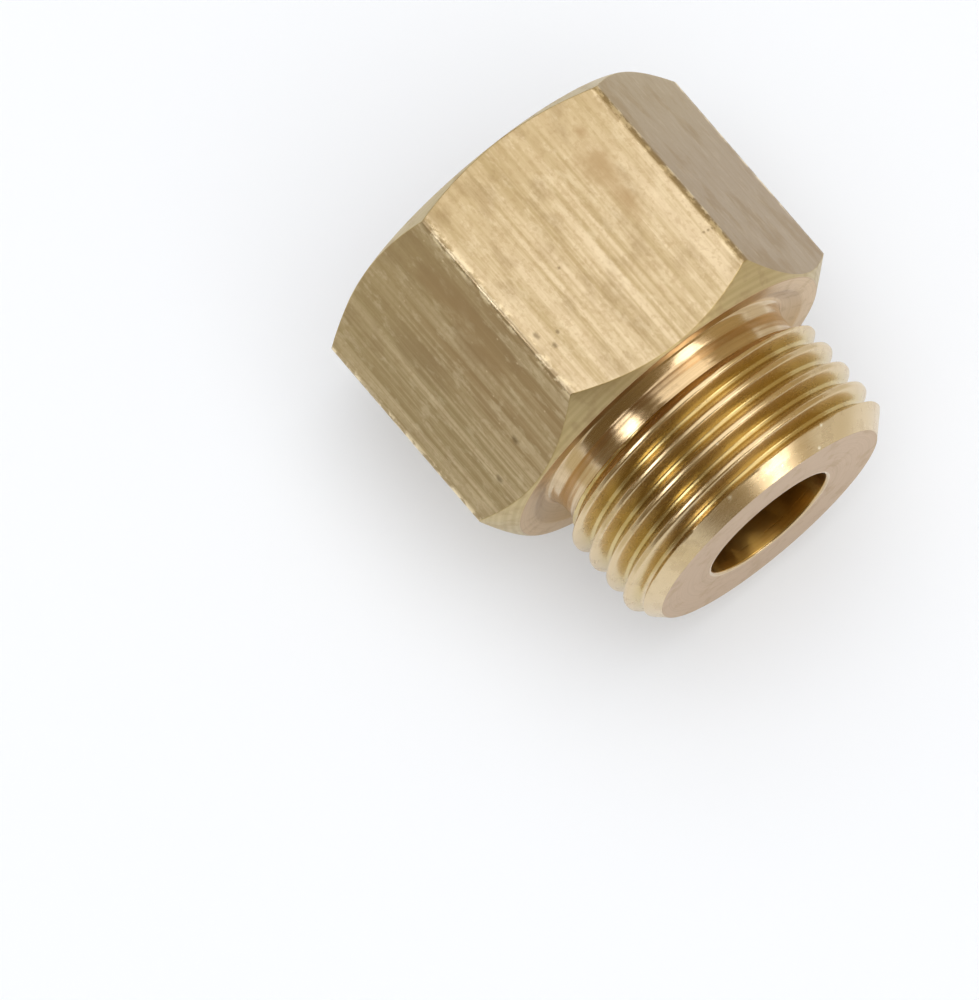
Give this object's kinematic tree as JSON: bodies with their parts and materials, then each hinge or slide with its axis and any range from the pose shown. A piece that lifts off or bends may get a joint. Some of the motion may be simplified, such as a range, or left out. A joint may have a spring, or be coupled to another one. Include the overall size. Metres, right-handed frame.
{
  "type": "inverted flare fitting",
  "caption": "One-piece brass adaptor: hexagon body, male parallel thread and smooth neck on one end, female inverted flare socket with a conical seat in the other, and a bore right through.",
  "frame": {"origin": "on the fitting's axis, in the plane of the shoulder face that the male thread stands on", "axes": "+X along the axis out of the male end, +Z square to the hexagon flat that faces up, +Y across two hexagon corners"},
  "size_m": [0.0232, 0.0238, 0.0206],
  "materials": {
    "brass": "drawn hexagon flats with streaks and light tarnish, bright turned neck, thread and faces"
  },
  "bodies": {
    "root": {"fitting_body": "brass"}
  },
  "joints": []
}
